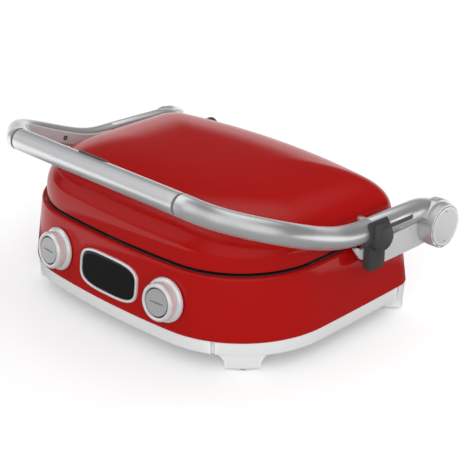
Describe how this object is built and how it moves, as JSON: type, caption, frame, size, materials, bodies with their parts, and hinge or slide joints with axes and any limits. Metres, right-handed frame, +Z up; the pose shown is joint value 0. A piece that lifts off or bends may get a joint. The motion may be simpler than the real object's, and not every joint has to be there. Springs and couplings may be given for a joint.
{
  "type": "contact grill",
  "caption": "Red contact grill with a domed lid hung in a silver tube handle, a height lever, glass display, knobs with push buttons, ribbed plates and a side drip tray.",
  "frame": {"origin": "middle of the whole object's box in plan, on the plane the four feet stand on", "axes": "+X to the right seen from the front, +Y to the back where the hinge is, +Z up"},
  "size_m": [0.376, 0.2772, 0.1671],
  "materials": {
    "red_paint": "glossy",
    "pale_grey_plastic": "satin",
    "black_plastic": "matte",
    "black_rubber": "matte",
    "coated_cast_aluminium": "matte",
    "bright_sheet": "satin",
    "satin_metal": "satin",
    "bright_chrome": "glossy",
    "brushed_metal": "satin",
    "black_glass": "glossy",
    "circuit_board": "matte",
    "dark_grey_plastic": "matte",
    "grey_gasket": "matte"
  },
  "bodies": {
    "base": {"lower_housing": "red_paint", "base_skirt": "pale_grey_plastic", "bottom_cover": "black_plastic", "control_board": "circuit_board", "foot_pad_front_left": "black_rubber", "foot_pad_front_right": "black_rubber", "foot_pad_rear_left": "black_rubber", "foot_pad_rear_right": "black_rubber", "lower_plate": "coated_cast_aluminium", "lower_heater": "bright_sheet", "lower_reflector": "bright_sheet", "display_bezel": "bright_chrome", "display_glass": "black_glass", "display_board": "circuit_board", "escutcheon_left": "bright_chrome", "escutcheon_right": "bright_chrome", "switch_sleeve_left": "black_plastic", "switch_sleeve_right": "black_plastic", "switch_body_left": "black_plastic", "switch_body_right": "black_plastic", "side_bracket_left": "bright_sheet", "side_bracket_right": "bright_sheet", "hinge_pin_left": "bright_sheet", "hinge_pin_right": "bright_sheet", "power_gland": "black_plastic"},
    "tray": {"drip_tray": "black_plastic"},
    "left_knob": {"knob_left": "bright_chrome"},
    "right_knob": {"knob_right": "bright_chrome"},
    "left_button": {"push_button_left": "brushed_metal"},
    "right_button": {"push_button_right": "brushed_metal"},
    "handle": {"grip_tube": "satin_metal", "grip_cover": "satin_metal", "grip_insert": "dark_grey_plastic", "grip_gasket_left": "grey_gasket", "grip_gasket_right": "grey_gasket", "side_tube_left": "satin_metal", "side_tube_right": "satin_metal", "side_cover_left": "satin_metal", "side_cover_right": "satin_metal", "hinge_arm_left": "satin_metal", "hinge_arm_right": "satin_metal", "hub_cap_left": "brushed_metal"},
    "release": {"release_button": "brushed_metal"},
    "lever": {"height_lever": "dark_grey_plastic"},
    "lid": {"lid_shell": "red_paint", "lid_liner": "black_plastic", "upper_plate": "coated_cast_aluminium", "upper_heater": "bright_sheet", "upper_reflector": "bright_sheet", "lid_pivot_left": "bright_sheet", "lid_pivot_right": "bright_sheet", "lead_boot": "dark_grey_plastic"}
  },
  "joints": [
    {"name": "handle_hinge", "type": "hinge", "parent": "base", "child": "handle", "pos_m": [0, 0.1182, 0.0837], "axis": [-1, 0, 0], "range_deg": [0, 180]},
    {"name": "lid_tilt", "type": "hinge", "parent": "handle", "child": "lid", "pos_m": [0, 0.04, 0.10279], "axis": [-1, 0, 0], "range_deg": [0, 1.8]},
    {"name": "lever_slide", "type": "slide", "parent": "handle", "child": "lever", "axis": [0, 0.9994, -0.0342], "range_m": [0, 0.033]},
    {"name": "release_press", "type": "slide", "parent": "handle", "child": "release", "axis": [-1, 0, 0], "range_m": [0, 0.0022], "stiffness_N_per_m": 500},
    {"name": "left_knob_turn", "type": "hinge", "parent": "base", "child": "left_knob", "pos_m": [-0.0717, -0.11691, 0.0545], "axis": [-0.0811, -0.9877, 0.1339], "continuous": true},
    {"name": "right_knob_turn", "type": "hinge", "parent": "base", "child": "right_knob", "pos_m": [0.0717, -0.11691, 0.0545], "axis": [0.0811, -0.9877, 0.1339], "continuous": true},
    {"name": "left_button_press", "type": "slide", "parent": "base", "child": "left_button", "axis": [0.0811, 0.9877, -0.1339], "range_m": [0, 0.0012], "stiffness_N_per_m": 300},
    {"name": "right_button_press", "type": "slide", "parent": "base", "child": "right_button", "axis": [-0.0811, 0.9877, -0.1339], "range_m": [0, 0.0012], "stiffness_N_per_m": 300},
    {"name": "tray_slide", "type": "slide", "parent": "base", "child": "tray", "axis": [-1, 0, 0], "range_m": [0, 0.13]}
  ]
}
